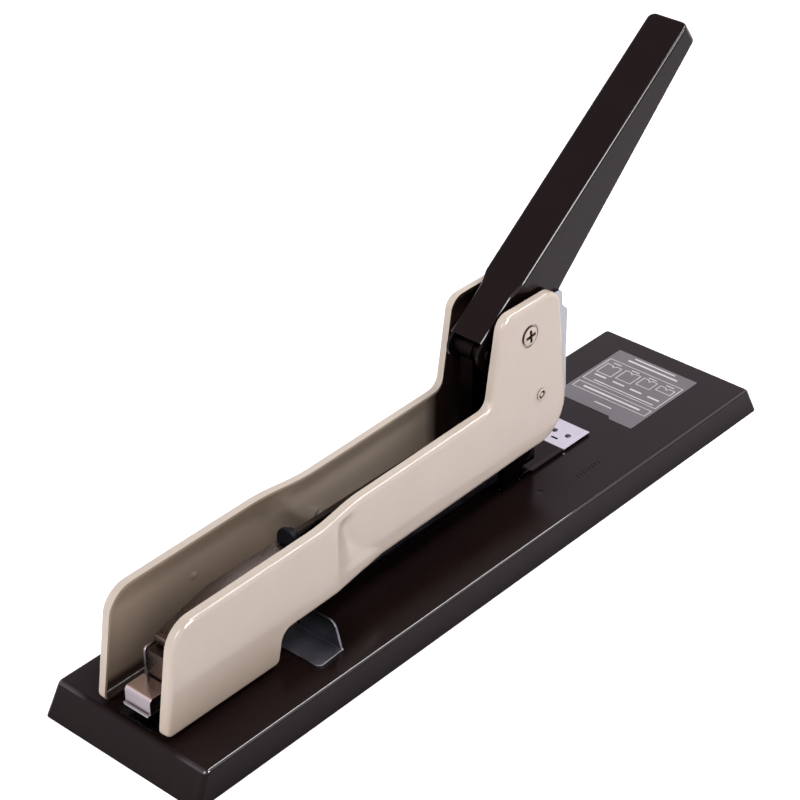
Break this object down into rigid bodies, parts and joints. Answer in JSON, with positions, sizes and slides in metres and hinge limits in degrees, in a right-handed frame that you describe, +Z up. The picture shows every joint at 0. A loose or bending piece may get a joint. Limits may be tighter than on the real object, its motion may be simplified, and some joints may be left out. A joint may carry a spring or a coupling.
{
  "type": "long-reach stapler",
  "caption": "Long-reach desk stapler: deep pressed arm over a long sheet-steel base, channel handle, driving lever, magazine, pusher and paper guide.",
  "frame": {"origin": "middle of the base's footprint, on the desk surface", "axes": "+X towards the handle end, +Y towards the far cheek, +Z up"},
  "size_m": [0.465, 0.1066, 0.2477],
  "materials": {
    "dark_paint": "semi-gloss dark brown stove enamel",
    "beige_paint": "glossy beige stove enamel",
    "zinc_plate": "bright zinc-nickel plating",
    "steel": "plain bright steel",
    "black_steel": "black oxide steel",
    "black_plastic": "black moulded plastic",
    "rubber": "black rubber"
  },
  "bodies": {
    "frame": {"base_pan": "dark_paint", "foot_front_near": "rubber", "foot_front_far": "rubber", "foot_rear_near": "rubber", "foot_rear_far": "rubber", "anvil_plate": "zinc_plate", "anvil_rivet_near": "steel", "anvil_rivet_far": "steel", "bracket": "zinc_plate", "bracket_rivet_near": "steel", "bracket_rivet_far": "steel", "cheek_near": "beige_paint", "cheek_far": "beige_paint", "pivot_screw": "beige_paint", "pivot_nut": "beige_paint", "magazine_rivet": "beige_paint", "pivot_collar_near": "steel", "pivot_collar_far": "steel", "magazine_outer_collar_near": "steel", "magazine_outer_collar_far": "steel", "magazine_inner_collar_near": "steel", "magazine_inner_collar_far": "steel", "fulcrum_pin": "steel", "spring_anchor_pin": "steel", "return_spring": "steel"},
    "handle": {"handle_channel": "dark_paint", "handle_bush": "steel", "link_pin_upper": "steel"},
    "link": {"lift_link": "black_steel"},
    "lever": {"driving_lever": "steel", "link_pin_lower": "steel"},
    "magazine": {"magazine_channel": "zinc_plate", "nose_cover": "zinc_plate", "staple_strip": "zinc_plate", "guide_rod": "steel", "rod_stop": "steel", "pusher_spring": "steel"},
    "driver": {"driver_blade": "steel", "driver_block": "black_steel"},
    "pusher": {"pusher_block": "black_steel", "pusher_knob": "black_plastic"},
    "guide": {"paper_guide": "zinc_plate", "guide_clip": "steel", "guide_rivet": "steel"}
  },
  "joints": [
    {"name": "handle_swing", "type": "hinge", "parent": "frame", "child": "handle", "pos_m": [0.0535, 0, 0.1187], "axis": [0, 1, 0], "range_deg": [0, 27], "stiffness_Nm_per_rad": 0.8, "springref_deg": -28.65, "deforming": ["return_spring"]},
    {"name": "link_swing", "type": "hinge", "parent": "handle", "child": "link", "pos_m": [0.03001, 0, 0.114], "axis": [0, -1, 0], "range_deg": [0, 25]},
    {"name": "lever_swing", "type": "hinge", "parent": "frame", "child": "lever", "pos_m": [-0.07, 0, 0.05198], "axis": [0, -1, 0], "range_deg": [0, 6.5]},
    {"name": "magazine_swing", "type": "hinge", "parent": "frame", "child": "magazine", "pos_m": [0.0649, 0, 0.0771], "axis": [0, -1, 0], "range_deg": [0, 0.76]},
    {"name": "driver_slide", "type": "slide", "parent": "magazine", "child": "driver", "axis": [0, 0, -1], "range_m": [0, 0.0106]},
    {"name": "pusher_slide", "type": "slide", "parent": "magazine", "child": "pusher", "axis": [1, 0, 0], "range_m": [0, 0.03], "stiffness_N_per_m": 60, "springref_m": -0.03, "deforming": ["pusher_spring"]},
    {"name": "guide_slide", "type": "slide", "parent": "frame", "child": "guide", "axis": [1, 0, 0], "range_m": [-0.014, 0.15]}
  ],
  "couplings": [
    {"joint": "link_swing", "follows": "handle_swing", "ratio": 0.924},
    {"joint": "lever_swing", "follows": "handle_swing", "ratio": 0.23815},
    {"joint": "magazine_swing", "follows": "handle_swing", "ratio": 0.02778},
    {"joint": "driver_slide", "follows": "handle_swing", "m_per_rad": 0.02228}
  ]
}
